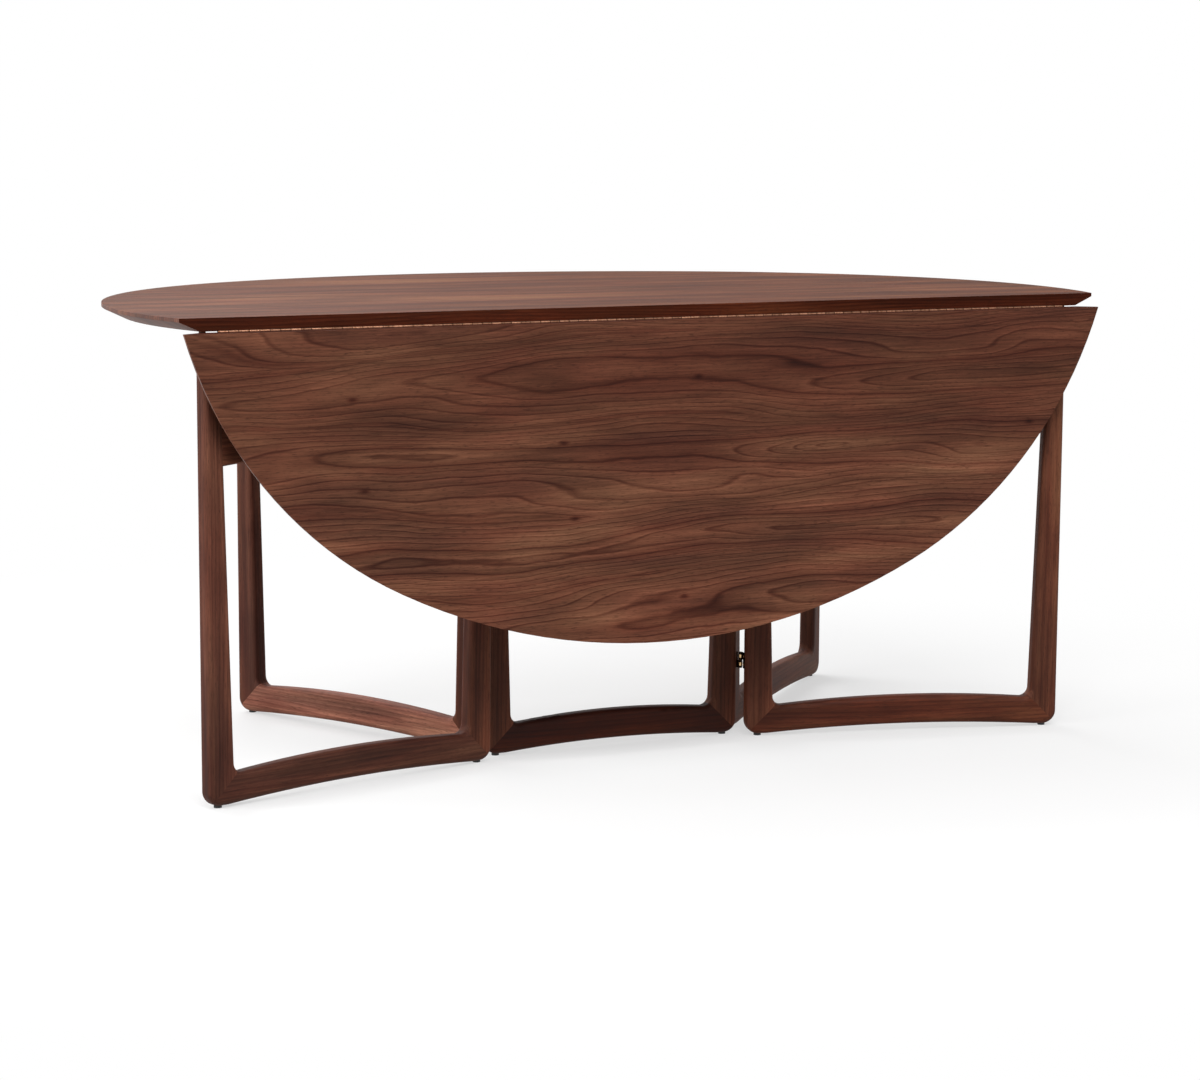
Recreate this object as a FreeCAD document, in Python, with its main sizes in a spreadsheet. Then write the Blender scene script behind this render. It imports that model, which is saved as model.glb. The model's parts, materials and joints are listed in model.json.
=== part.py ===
import FreeCAD, Part
import Sketcher
import math
import operator
import os

# Drop-leaf dining table: a thin oval top in three panels on five frames.
# The centre frame carries the centre panel. Two gates swing from each end of it.
# The front leaf hangs on its long hinge and the rear leaf lies level on two gates.
# X runs along the table, Y to the rear and Z up. The origin is on the floor, below the
# middle of the whole table as it stands here. Lengths are millimetres, angles degrees.

SIZES = {
    # Oval top
    "table_height": 720,
    "top_length": 1610,
    "top_width_share": 0.857,
    "end_radius_share": 0.8137,
    "panel_thickness": 19.5,
    "centre_width": 380,
    "panel_gap": 1,
    "bevel_reach": 30,
    "bevel_drop": 14,
    # Long hinges between the panels
    "pin_drop": 0.95,
    "long_flap_thickness": 1,
    "long_flap_width": 20,
    "hinge_margin": 56.8,
    "knuckle_pair_count": 45,
    "knuckle_gap": 0.3,
    "barrel_clearance": 0.4,
    "long_pin_radius": 0.8,
    "pin_play": 0.05,
    "long_screw_count": 15,
    "long_screw_margin": 56,
    "long_screw_inset": 8,
    "long_screw_radius": 1.3,
    "long_screw_head_radius": 2.6,
    "long_screw_length": 13,
    "leaf_lean": 1.7,
    # Frames
    "frame_thickness": 28,
    "centre_frame_length": 450,
    "gate_end_inset": 40,
    "gate_drop": 4.5,
    "leg_top_width": 28,
    "leg_foot_width": 46,
    "bottom_rail_depth": 45,
    "foot_radius": 22,
    "foot_flat": 14,
    "inner_radius": 15,
    "lower_arch": 8.5,
    "upper_arch": 10.5,
    "edge_round": 9,
    "cut_overrun": 10,
    # Upper rails
    "upper_rail_drop": 192.5,
    "upper_rail_depth": 60,
    "upper_rail_thickness": 24,
    "upper_rail_arch": 10,
    "upper_rail_ease": 2.5,
    "rail_scribe": 5,
    "top_rail_depth": 60,
    # Loose tenons
    "tenon_thickness": 8,
    "tenon_width": 16,
    "tenon_length": 26,
    "tenon_shift": 4,
    "rail_tenon_width": 26,
    "rail_tenon_length": 34,
    # Glides and rest pads
    "glide_height": 3.5,
    "glide_radius": 6,
    "glide_stem_radius": 2,
    "glide_stem_length": 12,
    "pad_radius": 5,
    "pad_inset": 5.5,
    "pad_clearance": 0.3,
    # Gate hinges
    "gate_gap": 4,
    "low_hinge_height": 123,
    "high_hinge_drop": 102,
    "gate_knuckle_length": 13,
    "gate_barrel_radius": 3.5,
    "gate_pin_radius": 1.5,
    "gate_pin_end": 0.6,
    "gate_flap_thickness": 1.2,
    "gate_flap_width": 13.5,
    "gate_screw_inset": 3.2,
    "gate_screw_radius": 1,
    "gate_screw_head_radius": 2,
    "gate_screw_length": 14,
    # How far the rear gates stand from the line of the centre frame, and how near the
    # ends of the front gates come to the hanging leaf
    "rear_left_angle": 64.5,
    "rear_right_angle": 44.6,
    "front_left_leaf_gap": 3.9,
    "front_right_leaf_gap": 15.6,
    # Screws that hold the centre panel
    "top_screw_radius": 2.2,
    "top_screw_head_radius": 4.5,
    "top_screw_head_height": 3,
    "top_screw_bite": 12,
    "top_screw_grip": 30,
    "top_screw_well_clearance": 0.5,
    "top_screw_margin": 60,
    "top_screw_count": 4,
}

OUT = 1
IN = -1
UP = FreeCAD.Vector(0, 0, 1)
ALONG = FreeCAD.Vector(1, 0, 0)
ACROSS = FreeCAD.Vector(0, 1, 0)
SAME = 1e-6
SIGNS = {"+": operator.add, "-": operator.sub, "*": operator.mul, "/": operator.truediv}


class Measure:
    """A number together with the sheet expression that it comes from."""

    def __init__(self, number, text):
        self.number = number
        self.text = text

    def __add__(self, other):
        return joined(self, "+", other)

    def __radd__(self, other):
        return joined(other, "+", self)

    def __sub__(self, other):
        return joined(self, "-", other)

    def __rsub__(self, other):
        return joined(other, "-", self)

    def __mul__(self, other):
        return joined(self, "*", other)

    def __rmul__(self, other):
        return joined(other, "*", self)

    def __truediv__(self, other):
        return joined(self, "/", other)

    def __neg__(self):
        return joined(0, "-", self)


def measure(value):
    if isinstance(value, Measure):
        return value
    return Measure(value, str(value))


def joined(left, sign, right):
    left = measure(left)
    right = measure(right)
    number = SIGNS[sign](left.number, right.number)
    return Measure(number, "(" + left.text + " " + sign + " " + right.text + ")")


def root(value):
    return Measure(math.sqrt(value.number), "sqrt(" + value.text + ")")


def cosine(angle):
    return Measure(math.cos(math.radians(angle.number)), "cos(" + angle.text + " * 1 deg)")


def sine(angle):
    return Measure(math.sin(math.radians(angle.number)), "sin(" + angle.text + " * 1 deg)")


def arcsine(value):
    return Measure(math.degrees(math.asin(value.number)), "(asin(" + value.text + ") / 1 deg)")


class Sizes:
    """The driving sizes by name, each with its link to the sheet."""

    def __init__(self, table):
        for name, number in table.items():
            setattr(self, name, Measure(number, "sizes." + name))


doc = FreeCAD.newDocument("drop_leaf_table")
sheet = doc.addObject("Spreadsheet::Sheet", "sizes")
for row, (alias, number) in enumerate(SIZES.items(), start=1):
    sheet.set("A" + str(row), alias)
    sheet.set("B" + str(row), str(number))
    sheet.setAlias("B" + str(row), alias)
doc.recompute()
s = Sizes(SIZES)

# Sizes that follow from the driving ones
half_length = s.top_length / 2
half_width = half_length * s.top_width_share
end_radius = half_length * s.end_radius_share
end_centre = half_length - end_radius
side_radius = ((end_centre * end_centre + half_width * half_width - end_radius * end_radius)
               / (2 * (half_width - end_radius)))


def curve_x(y):
    """How far the end arc of the oval reaches along X, at a distance from the middle."""
    return end_centre + root(end_radius * end_radius - y * y)


underside = s.table_height - s.panel_thickness
hinge_line = s.centre_width / 2
pin_height = underside - s.pin_drop
barrel_radius = s.pin_drop + s.long_flap_thickness
hinge_length = 2 * (curve_x(hinge_line) - s.hinge_margin)
knuckle_pitch = hinge_length / (2 * s.knuckle_pair_count + 1)
long_screw_span = hinge_length - 2 * s.long_screw_margin
gate_top = underside - s.gate_drop
pivot_x = s.centre_frame_length / 2 + s.gate_gap
pivot_y = s.frame_thickness / 2
rail_top = s.glide_height + s.bottom_rail_depth
glide_inset = s.foot_radius
gate_length = half_length - pivot_x - s.gate_gap - s.gate_end_inset
gate_rail_height = gate_top - s.upper_rail_drop
front_room = hinge_line - pivot_y - s.frame_thickness
front_left_angle = arcsine((front_room - s.front_left_leaf_gap) / (s.gate_gap + gate_length))
front_right_angle = arcsine((front_room - s.front_right_leaf_gap) / (s.gate_gap + gate_length))
front_reach = (hinge_line + (s.pin_drop + s.panel_thickness) * cosine(s.leaf_lean)
               - s.panel_gap / 2 * sine(s.leaf_lean))
centre_line_y = (front_reach - half_width) / 2


def bind(thing, prop, value):
    """Ties one property of an object to the sheet."""
    thing.setExpression(prop, measure(value).text)


def place(thing, x=0, y=0, z=0, axis=UP, angle=0):
    """Puts an object at a place and a turn that follow the sheet."""
    turn = FreeCAD.Rotation(axis, measure(angle).number)
    thing.Placement = FreeCAD.Placement(FreeCAD.Vector(), turn)
    bind(thing, "Placement.Base.x", x)
    bind(thing, "Placement.Base.y", y)
    bind(thing, "Placement.Base.z", z)
    if isinstance(angle, Measure):
        bind(thing, "Placement.Rotation.Angle", angle)
    return thing


def group(name, parts, **where):
    """One object that holds the solids of others, at a place of its own."""
    held = doc.addObject("Part::Compound", name)
    held.Links = parts
    return place(held, **where)


def cut(name, base, tool):
    result = doc.addObject("Part::Cut", name)
    result.Base = base
    result.Tool = tool
    return result


def fuse(name, parts):
    result = doc.addObject("Part::MultiFuse", name)
    result.Shapes = parts
    return result


def mirrored(name, source, normal):
    result = doc.addObject("Part::Mirroring", name)
    result.Source = source
    result.Normal = normal
    return result


def box(name, length, width, height, **where):
    block = doc.addObject("Part::Box", name)
    bind(block, "Length", length)
    bind(block, "Width", width)
    bind(block, "Height", height)
    return place(block, **where)


def rod(name, radius, height, **where):
    cylinder = doc.addObject("Part::Cylinder", name)
    bind(cylinder, "Radius", radius)
    bind(cylinder, "Height", height)
    return place(cylinder, **where)


def cone(name, low_radius, high_radius, height, **where):
    taper = doc.addObject("Part::Cone", name)
    bind(taper, "Radius1", low_radius)
    bind(taper, "Radius2", high_radius)
    bind(taper, "Height", height)
    return place(taper, **where)


def origin_part(body, role):
    return next(part for part in body.Origin.OriginFeatures if part.Role == role)


def new_body(name):
    body = doc.addObject("PartDesign::Body", name)
    body.AllowCompound = True
    return body


def arc_between(start, end, radius, side):
    """The short arc from start to end, which bulges to the right where side is OUT."""
    chord = end - start
    rise = math.sqrt(radius * radius - chord.Length * chord.Length / 4)
    right = FreeCAD.Vector(chord.y, -chord.x, 0).normalize() * side
    centre = (start + end) / 2 - right * rise
    return Part.Arc(start, centre + right * radius, end)


def hold_point(sketch, geometry, position, x, y):
    """Holds one point of a sketch at a place that follows the sheet."""
    for kind, axis, value in (("DistanceX", -2, x), ("DistanceY", -1, y)):
        if measure(value).number == 0:
            sketch.addConstraint(
                Sketcher.Constraint("PointOnObject", geometry, position, axis))
        else:
            index = sketch.addConstraint(
                Sketcher.Constraint(kind, -1, 1, geometry, position, value.number))
            sketch.setExpression("Constraints[" + str(index) + "]", value.text)


def trace(sketch, corners):
    """Draws a closed outline. Each corner is x, y and how the outline leaves it:
    None for a straight line, or a radius and a side for an arc."""
    drawn = []
    for (x, y, bend), (next_x, next_y, _) in zip(corners, corners[1:] + corners[:1]):
        start = FreeCAD.Vector(measure(x).number, measure(y).number, 0)
        end = FreeCAD.Vector(measure(next_x).number, measure(next_y).number, 0)
        if bend is None:
            shape = Part.LineSegment(start, end)
        else:
            shape = arc_between(start, end, bend[0].number, bend[1])
        geometry = sketch.addGeometry(shape)
        first = sketch.getPoint(geometry, 1)
        second = sketch.getPoint(geometry, 2)
        forward = first.distanceToPoint(start) < second.distanceToPoint(start)
        drawn.append((geometry, 1 if forward else 2, 2 if forward else 1, x, y, bend))
    for this, following in zip(drawn, drawn[1:] + drawn[:1]):
        sketch.addConstraint(
            Sketcher.Constraint("Coincident", this[0], this[2], following[0], following[1]))
    for geometry, start, _, x, y, bend in drawn:
        hold_point(sketch, geometry, start, x, y)
        if bend is not None:
            index = sketch.addConstraint(
                Sketcher.Constraint("Radius", geometry, bend[0].number))
            sketch.setExpression("Constraints[" + str(index) + "]", bend[0].text)


def draw_circle(sketch, radius):
    """A circle round the sketch's origin."""
    ring = sketch.addGeometry(Part.Circle(FreeCAD.Vector(), UP, radius.number))
    sketch.addConstraint(Sketcher.Constraint("Coincident", ring, 3, -1, 1))
    index = sketch.addConstraint(Sketcher.Constraint("Radius", ring, radius.number))
    sketch.setExpression("Constraints[" + str(index) + "]", radius.text)


def empty_sketch(body, name, role, offset=0):
    sketch = body.newObject("Sketcher::SketchObject", name)
    sketch.AttachmentSupport = [(origin_part(body, role), "")]
    sketch.MapMode = "FlatFace"
    bind(sketch, "AttachmentOffset.Base.z", offset)
    return sketch


def outline(body, name, role, corners, offset=0):
    sketch = empty_sketch(body, name, role, offset)
    trace(sketch, corners)
    return sketch


def pad(body, name, sketch, length, symmetric=False):
    feature = body.newObject("PartDesign::Pad", name)
    feature.Profile = sketch
    bind(feature, "Length", length)
    if symmetric:
        feature.SideType = "Symmetric"
    doc.recompute()
    return feature


def edges_where(shape, wanted):
    return ["Edge" + str(index) for index, edge in enumerate(shape.Edges, start=1) if wanted(edge)]


def fillet(body, name, base, wanted, radius):
    feature = body.newObject("PartDesign::Fillet", name)
    feature.Base = (base, edges_where(base.Shape, wanted))
    bind(feature, "Radius", radius)
    doc.recompute()
    return feature


def is_near(left, right):
    return abs(left - right) < SAME


def runs_along_y(edge, x, z):
    """True for the straight edge through the thickness at one corner of a frame."""
    return all(is_near(point.X, x.number) and is_near(point.Z, z.number)
               for point in edge.Vertexes)


def arc_radius(chord, rise):
    return (chord * chord / 4 + rise * rise) / (2 * rise)


def row_along_x(body, features, name, count, span):
    """Repeats features along X, evenly over a span."""
    row_feature = body.newObject("PartDesign::LinearPattern", name)
    row_feature.Originals = features
    row_feature.Direction = (origin_part(body, "X_Axis"), [""])
    bind(row_feature, "Length", span)
    bind(row_feature, "Occurrences", count)
    body.Tip = row_feature
    doc.recompute()
    return row_feature


# Long hinges. They are drawn about the pin line, with the leaf on the +Y side.

def long_screw_row():
    """A row of countersunk screws that point up from the flap into the panel."""
    body = new_body("long_screw_row")
    seat = s.pin_drop
    neck = seat + s.long_screw_head_radius - s.long_screw_radius
    profile = outline(body, "long_screw_profile", "XZ_Plane", [
        (0, seat, None),
        (s.long_screw_head_radius, seat, None),
        (s.long_screw_radius, neck, None),
        (s.long_screw_radius, seat + s.long_screw_length, None),
        (0, seat + s.long_screw_length, None),
    ])
    turned = body.newObject("PartDesign::Revolution", "long_screw_turned")
    turned.Profile = profile
    turned.ReferenceAxis = (profile, ["V_Axis"])
    doc.recompute()
    row_along_x(body, [turned], "long_screw_pattern", s.long_screw_count, long_screw_span)
    return body


def long_flap(name, side, first_knuckle, count):
    """One flap of a long hinge: a thin plate with every second knuckle of the barrel."""
    body = new_body(name)
    notch = barrel_radius + s.barrel_clearance
    length = knuckle_pitch - s.knuckle_gap
    start = -hinge_length / 2 + first_knuckle * knuckle_pitch + s.knuckle_gap / 2
    plate = outline(body, name + "_plate_outline", "XY_Plane", [
        (-hinge_length / 2, side * notch, None),
        (hinge_length / 2, side * notch, None),
        (hinge_length / 2, side * s.long_flap_width, None),
        (-hinge_length / 2, side * s.long_flap_width, None),
    ], s.pin_drop)
    pad(body, name + "_plate", plate, s.long_flap_thickness)
    ring_outline = empty_sketch(body, name + "_ring_outline", "YZ_Plane", start)
    draw_circle(ring_outline, barrel_radius)
    draw_circle(ring_outline, s.long_pin_radius + s.pin_play)
    ring = pad(body, name + "_ring", ring_outline, length)
    web_outline = outline(body, name + "_web_outline", "YZ_Plane", [
        (0, s.pin_drop, None),
        (side * notch, s.pin_drop, None),
        (side * notch, barrel_radius, None),
        (0, barrel_radius, None),
    ], start)
    web = pad(body, name + "_web", web_outline, length)
    row_along_x(body, [ring, web], name + "_knuckles", count,
                (count - 1) * 2 * knuckle_pitch)
    return body


screw_row = long_screw_row()
screw_offset = s.long_flap_width - s.long_screw_inset
leaf_screws = group("leaf_screws", [screw_row], x=-long_screw_span / 2, y=screw_offset)
fixed_screws = group("fixed_screws", [screw_row], x=-long_screw_span / 2, y=-screw_offset)
leaf_flap = cut("leaf_flap", long_flap("leaf_flap_blank", OUT, 1, s.knuckle_pair_count),
                leaf_screws)
fixed_flap = cut("fixed_flap", long_flap("fixed_flap_blank", IN, 0, s.knuckle_pair_count + 1),
                 fixed_screws)
long_pin = rod("long_pin", s.long_pin_radius, hinge_length,
               x=-hinge_length / 2, axis=ACROSS, angle=90)
hinge_bed = fuse("hinge_bed", [
    box("flap_bed", hinge_length, 2 * s.long_flap_width, s.long_flap_thickness + s.cut_overrun,
        x=-hinge_length / 2, y=-s.long_flap_width, z=s.pin_drop - s.cut_overrun),
    rod("barrel_bed", barrel_radius + s.barrel_clearance, hinge_length,
        x=-hinge_length / 2, axis=ACROSS, angle=90),
])


# Top panels. Each has a square edge at the hinge and a bevelled curved edge.

def bevelled_panel(name, corners, low):
    """A panel whose curved lower edge is bevelled away."""
    body = new_body(name)
    sketch = outline(body, name + "_outline", "XY_Plane", corners, low)
    slab = pad(body, name + "_slab", sketch, s.panel_thickness)
    bevel = body.newObject("PartDesign::Chamfer", name + "_bevel")
    bevel.Base = (slab, edges_where(slab.Shape, lambda edge: (
        isinstance(edge.Curve, Part.Circle)
        and all(is_near(point.Z, low.number) for point in edge.Vertexes))))
    bevel.ChamferType = "Two distances"
    bind(bevel, "Size", s.bevel_drop)
    bind(bevel, "Size2", s.bevel_reach)
    doc.recompute()
    return body


def centre_panel_blank():
    edge_y = hinge_line - s.panel_gap / 2
    edge_x = curve_x(edge_y)
    return bevelled_panel("centre_panel_blank", [
        (-edge_x, -edge_y, None),
        (edge_x, -edge_y, (end_radius, OUT)),
        (edge_x, edge_y, None),
        (-edge_x, edge_y, (end_radius, OUT)),
    ], underside)


def leaf_panel_blank():
    """The leaf, drawn about its pin line. Its long side arc runs into two end arcs."""
    edge_y = hinge_line + s.panel_gap / 2
    edge_x = curve_x(edge_y)
    meet_x = end_centre * side_radius / (side_radius - end_radius)
    meet_y = end_radius * (side_radius - half_width) / (side_radius - end_radius)
    return bevelled_panel("leaf_panel_blank", [
        (-edge_x, s.panel_gap / 2, None),
        (edge_x, s.panel_gap / 2, (end_radius, OUT)),
        (meet_x, meet_y - hinge_line, (side_radius, OUT)),
        (-meet_x, meet_y - hinge_line, (end_radius, OUT)),
    ], s.pin_drop)


leaf_tools = group("leaf_tools", [hinge_bed, leaf_screws])
centre_tools = group("centre_tools", [hinge_bed, fixed_screws])
leaf_panel = cut("leaf_panel", leaf_panel_blank(), leaf_tools)


# Frames. Each is a U of two tapered legs and an arched bottom rail, mitred at the feet.
# Its own X runs along it from the end of one leg, and Y is through its thickness.

def frame_blank(name, length, top):
    body = new_body(name)
    foot = s.foot_radius + s.foot_flat
    corners = [
        (0, s.glide_height, None),
        (foot, s.glide_height, (arc_radius(length - 2 * foot, s.lower_arch), IN)),
        (length - foot, s.glide_height, None),
        (length, s.glide_height, None),
        (length, top, None),
        (length - s.leg_top_width, top, None),
        (length - s.leg_foot_width, rail_top,
         (arc_radius(length - 2 * s.leg_foot_width, s.upper_arch), OUT)),
        (s.leg_foot_width, rail_top, None),
        (s.leg_top_width, top, None),
        (0, top, None),
    ]
    sketch = outline(body, name + "_outline", "XZ_Plane", corners)
    slab = pad(body, name + "_slab", sketch, s.frame_thickness, symmetric=True)
    feet = fillet(body, name + "_feet", slab, lambda edge: (
        runs_along_y(edge, measure(0), s.glide_height)
        or runs_along_y(edge, length, s.glide_height)), s.foot_radius)
    elbows = fillet(body, name + "_elbows", feet, lambda edge: (
        runs_along_y(edge, s.leg_foot_width, rail_top)
        or runs_along_y(edge, length - s.leg_foot_width, rail_top)), s.inner_radius)
    face = s.frame_thickness.number / 2
    fillet(body, name + "_rounded", elbows, lambda edge: (
        all(is_near(abs(point.Y), face) for point in edge.Vertexes)
        and is_near(edge.Vertexes[0].Y, edge.Vertexes[-1].Y)
        and not all(is_near(point.Z, top.number) for point in edge.Vertexes)), s.edge_round)
    return body


def mitre_zone(name, length, top, far):
    """The side of the mitre that holds one leg, as a prism wider than the frame."""
    def across(x):
        return length - x if far else measure(x)
    overrun_share = s.cut_overrun / s.leg_foot_width
    low_z = s.glide_height - overrun_share * s.bottom_rail_depth
    high_z = rail_top + overrun_share * s.bottom_rail_depth
    body = new_body(name)
    sketch = outline(body, name + "_outline", "XZ_Plane", [
        (across(-s.cut_overrun), low_z, None),
        (across(s.leg_foot_width + s.cut_overrun), high_z, None),
        (across(s.leg_foot_width + s.cut_overrun), top + s.cut_overrun, None),
        (across(-s.cut_overrun), top + s.cut_overrun, None),
    ])
    pad(body, name + "_prism", sketch, 2 * s.frame_thickness, symmetric=True)
    return body


def corner_tenon(name, length, far):
    """A loose tenon across one mitre, set a little towards the inner corner."""
    half_turn_share = math.sqrt(0.5)
    middle_x = s.leg_foot_width / 2 + s.tenon_shift
    middle_z = s.glide_height + s.bottom_rail_depth / 2 + s.tenon_shift
    along = s.tenon_length / 2 * half_turn_share
    over = s.tenon_width / 2 * half_turn_share
    if far:
        start_x = length - middle_x - along + over
        start_z = middle_z - along - over
    else:
        start_x = middle_x - along - over
        start_z = middle_z + along - over
    return box(name, s.tenon_length, s.tenon_thickness, s.tenon_width,
               x=start_x, y=-s.tenon_thickness / 2, z=start_z,
               axis=ACROSS, angle=-45 if far else 45)


def leg_inner_x(height, top):
    """How wide a leg is at some height above the rail."""
    taper = (s.leg_top_width - s.leg_foot_width) / (top - rail_top)
    return s.leg_foot_width + taper * (height - rail_top)


def rail_tenons(name, length, middle_z, top):
    inner = leg_inner_x(middle_z, top)
    low = middle_z - s.rail_tenon_width / 2
    half = s.rail_tenon_length / 2
    return [
        box(name + "_near", s.rail_tenon_length, s.tenon_thickness, s.rail_tenon_width,
            x=inner - half, y=-s.tenon_thickness / 2, z=low),
        box(name + "_far", s.rail_tenon_length, s.tenon_thickness, s.rail_tenon_width,
            x=length - inner - half, y=-s.tenon_thickness / 2, z=low),
    ]


def upper_rail_blank(name, length, low, high, top, flat_top):
    """An arched rail between the legs. Its ends run into the legs and are scribed to them."""
    low_x = leg_inner_x(low, top) - s.rail_scribe
    high_x = leg_inner_x(high, top) - s.rail_scribe
    low_bend = (arc_radius(length - 2 * low_x, s.upper_rail_arch), IN)
    high_bend = None if flat_top else (arc_radius(length - 2 * high_x, s.upper_rail_arch), OUT)
    body = new_body(name)
    sketch = outline(body, name + "_outline", "XZ_Plane", [
        (low_x, low, low_bend),
        (length - low_x, low, None),
        (length - high_x, high, high_bend),
        (high_x, high, None),
    ])
    slab = pad(body, name + "_slab", sketch, s.upper_rail_thickness, symmetric=True)
    face = s.upper_rail_thickness.number / 2
    eased = body.newObject("PartDesign::Chamfer", name + "_eased")
    eased.Base = (slab, edges_where(slab.Shape, lambda edge: (
        isinstance(edge.Curve, Part.Circle)
        and all(is_near(abs(point.Y), face) for point in edge.Vertexes))))
    bind(eased, "Size", s.upper_rail_ease)
    doc.recompute()
    return body


def glide(name, x):
    disc = rod(name + "_disc", s.glide_radius, s.glide_height)
    stem = rod(name + "_stem", s.glide_stem_radius, s.glide_stem_length + s.glide_height)
    return group(name, [fuse(name + "_whole", [disc, stem])], x=x)


def frame_parts(name, length, top, rail_low, rail_high, flat_top):
    """All the pieces of one frame, in the frame's own place."""
    blank = frame_blank(name + "_blank", length, top)
    near_zone = mitre_zone(name + "_near_zone", length, top, far=False)
    far_zone = mitre_zone(name + "_far_zone", length, top, far=True)
    middle_z = (rail_low + rail_high) / 2
    tenons = group(name + "_tenons", [
        corner_tenon(name + "_near_tenon", length, far=False),
        corner_tenon(name + "_far_tenon", length, far=True),
        *rail_tenons(name + "_rail_tenon", length, middle_z, top),
    ])
    glides = group(name + "_glides", [
        glide(name + "_near_glide", glide_inset),
        glide(name + "_far_glide", length - glide_inset),
    ])
    legs = {}
    for end, zone in (("near", near_zone), ("far", far_zone)):
        leg = doc.addObject("Part::Common", name + "_" + end + "_leg_solid")
        leg.Base = blank
        leg.Tool = zone
        legs[end] = cut(name + "_" + end + "_leg", leg, tenons)
    zones = fuse(name + "_zones", [near_zone, far_zone])
    low_rail = cut(name + "_low_rail_solid", blank, zones)
    rail_tools = group(name + "_rail_tools", [tenons, glides])
    high_rail = upper_rail_blank(name + "_high_rail", length, rail_low, rail_high, top, flat_top)
    scribed = cut(name + "_high_rail_scribed", high_rail, blank)
    return {
        "near_leg": legs["near"],
        "far_leg": legs["far"],
        "bottom_rail": cut(name + "_bottom_rail", low_rail, rail_tools),
        "upper_rail": cut(name + "_upper_rail", scribed, tenons),
        "tenons": tenons,
        "glides": glides,
    }


gate = frame_parts("gate", gate_length, gate_top, gate_rail_height,
                   gate_rail_height + s.upper_rail_depth, flat_top=False)
post = frame_parts("post", s.centre_frame_length, underside, underside - s.top_rail_depth,
                   underside, flat_top=True)


# Gate hinges. They are drawn about the pin, with the gate along +X and open space at +Y.
# The lower knuckle is fixed to the centre frame and the upper one turns with the gate.

def gate_flap(name, knuckle_low):
    """A small flap with one knuckle, on the end of a leg at +X."""
    plate_x = s.gate_gap - s.gate_flap_thickness
    length = s.gate_knuckle_length
    knuckle_height = length - s.knuckle_gap / 2
    solid = fuse(name + "_solid", [
        rod(name + "_barrel", s.gate_barrel_radius, knuckle_height, z=knuckle_low),
        box(name + "_web", s.gate_flap_thickness, s.gate_flap_width, knuckle_height,
            x=plate_x, z=knuckle_low),
        box(name + "_plate", s.gate_flap_thickness,
            s.gate_flap_width - s.gate_barrel_radius - s.barrel_clearance, 2 * length,
            x=plate_x, y=s.gate_barrel_radius + s.barrel_clearance, z=-length),
    ])
    bore = rod(name + "_bore", s.gate_pin_radius + s.pin_play, 4 * length, z=-2 * length)
    return cut(name + "_bored", solid, bore)


def gate_screws(name):
    """Two countersunk screws, from the flap into the end of the leg."""
    screws = []
    for end, sign in (("low", IN), ("high", OUT)):
        where = {
            "x": s.gate_gap - s.gate_flap_thickness,
            "y": s.gate_flap_width - s.gate_screw_inset,
            "z": sign * s.gate_knuckle_length / 2,
            "axis": ACROSS,
            "angle": 90,
        }
        head = cone(name + "_" + end + "_head", s.gate_screw_head_radius, s.gate_screw_radius,
                    s.gate_screw_head_radius - s.gate_screw_radius, **where)
        shank = rod(name + "_" + end + "_shank", s.gate_screw_radius, s.gate_screw_length,
                    **where)
        screws.append(fuse(name + "_" + end, [head, shank]))
    return group(name, screws)


def at_both_heights(name, part):
    """The same hinge part at the low and the high hinge."""
    return group(name, [
        group(name + "_low", [part], z=s.low_hinge_height),
        group(name + "_high", [part], z=underside - s.high_hinge_drop),
    ])


one_screw_pair = gate_screws("gate_screw_pair")
moving_screws = at_both_heights("moving_screws", one_screw_pair)
moving_flaps = at_both_heights("moving_flaps", cut(
    "moving_flap", gate_flap("moving_flap_blank", s.knuckle_gap / 2), one_screw_pair))
fixed_flap_solid = cut(
    "gate_fixed_flap", gate_flap("gate_fixed_flap_blank", -s.gate_knuckle_length),
    one_screw_pair)
fixed_flaps = group("gate_fixed_flaps", [at_both_heights("gate_fixed_pair", fixed_flap_solid)],
                    angle=180)
fixed_gate_screws = group("gate_fixed_screws", [moving_screws], angle=180)
gate_pins = at_both_heights("gate_pins", rod(
    "gate_pin", s.gate_pin_radius, 2 * (s.gate_knuckle_length + s.gate_pin_end),
    z=-s.gate_knuckle_length - s.gate_pin_end))


def at_four_pivots(name, part):
    """Parts of the gate hinges that stay with the centre frame, at all four pivots."""
    rear_right = group(name + "_rear_right", [part], x=pivot_x, y=pivot_y)
    rear_left = mirrored(name + "_rear_left", rear_right, ALONG)
    front_right = mirrored(name + "_front_right", rear_right, ACROSS)
    front_left = mirrored(name + "_front_left", rear_left, ACROSS)
    return group(name, [rear_right, rear_left, front_right, front_left])


all_fixed_flaps = at_four_pivots("all_fixed_flaps", fixed_flaps)
all_fixed_screws = at_four_pivots("all_fixed_screws", fixed_gate_screws)
all_gate_pins = at_four_pivots("all_gate_pins", gate_pins)


# Pieces in place

nodes = []


def add_node(label, part, **where):
    node = group(label, [part], **where)
    nodes.append(node)
    return node


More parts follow.
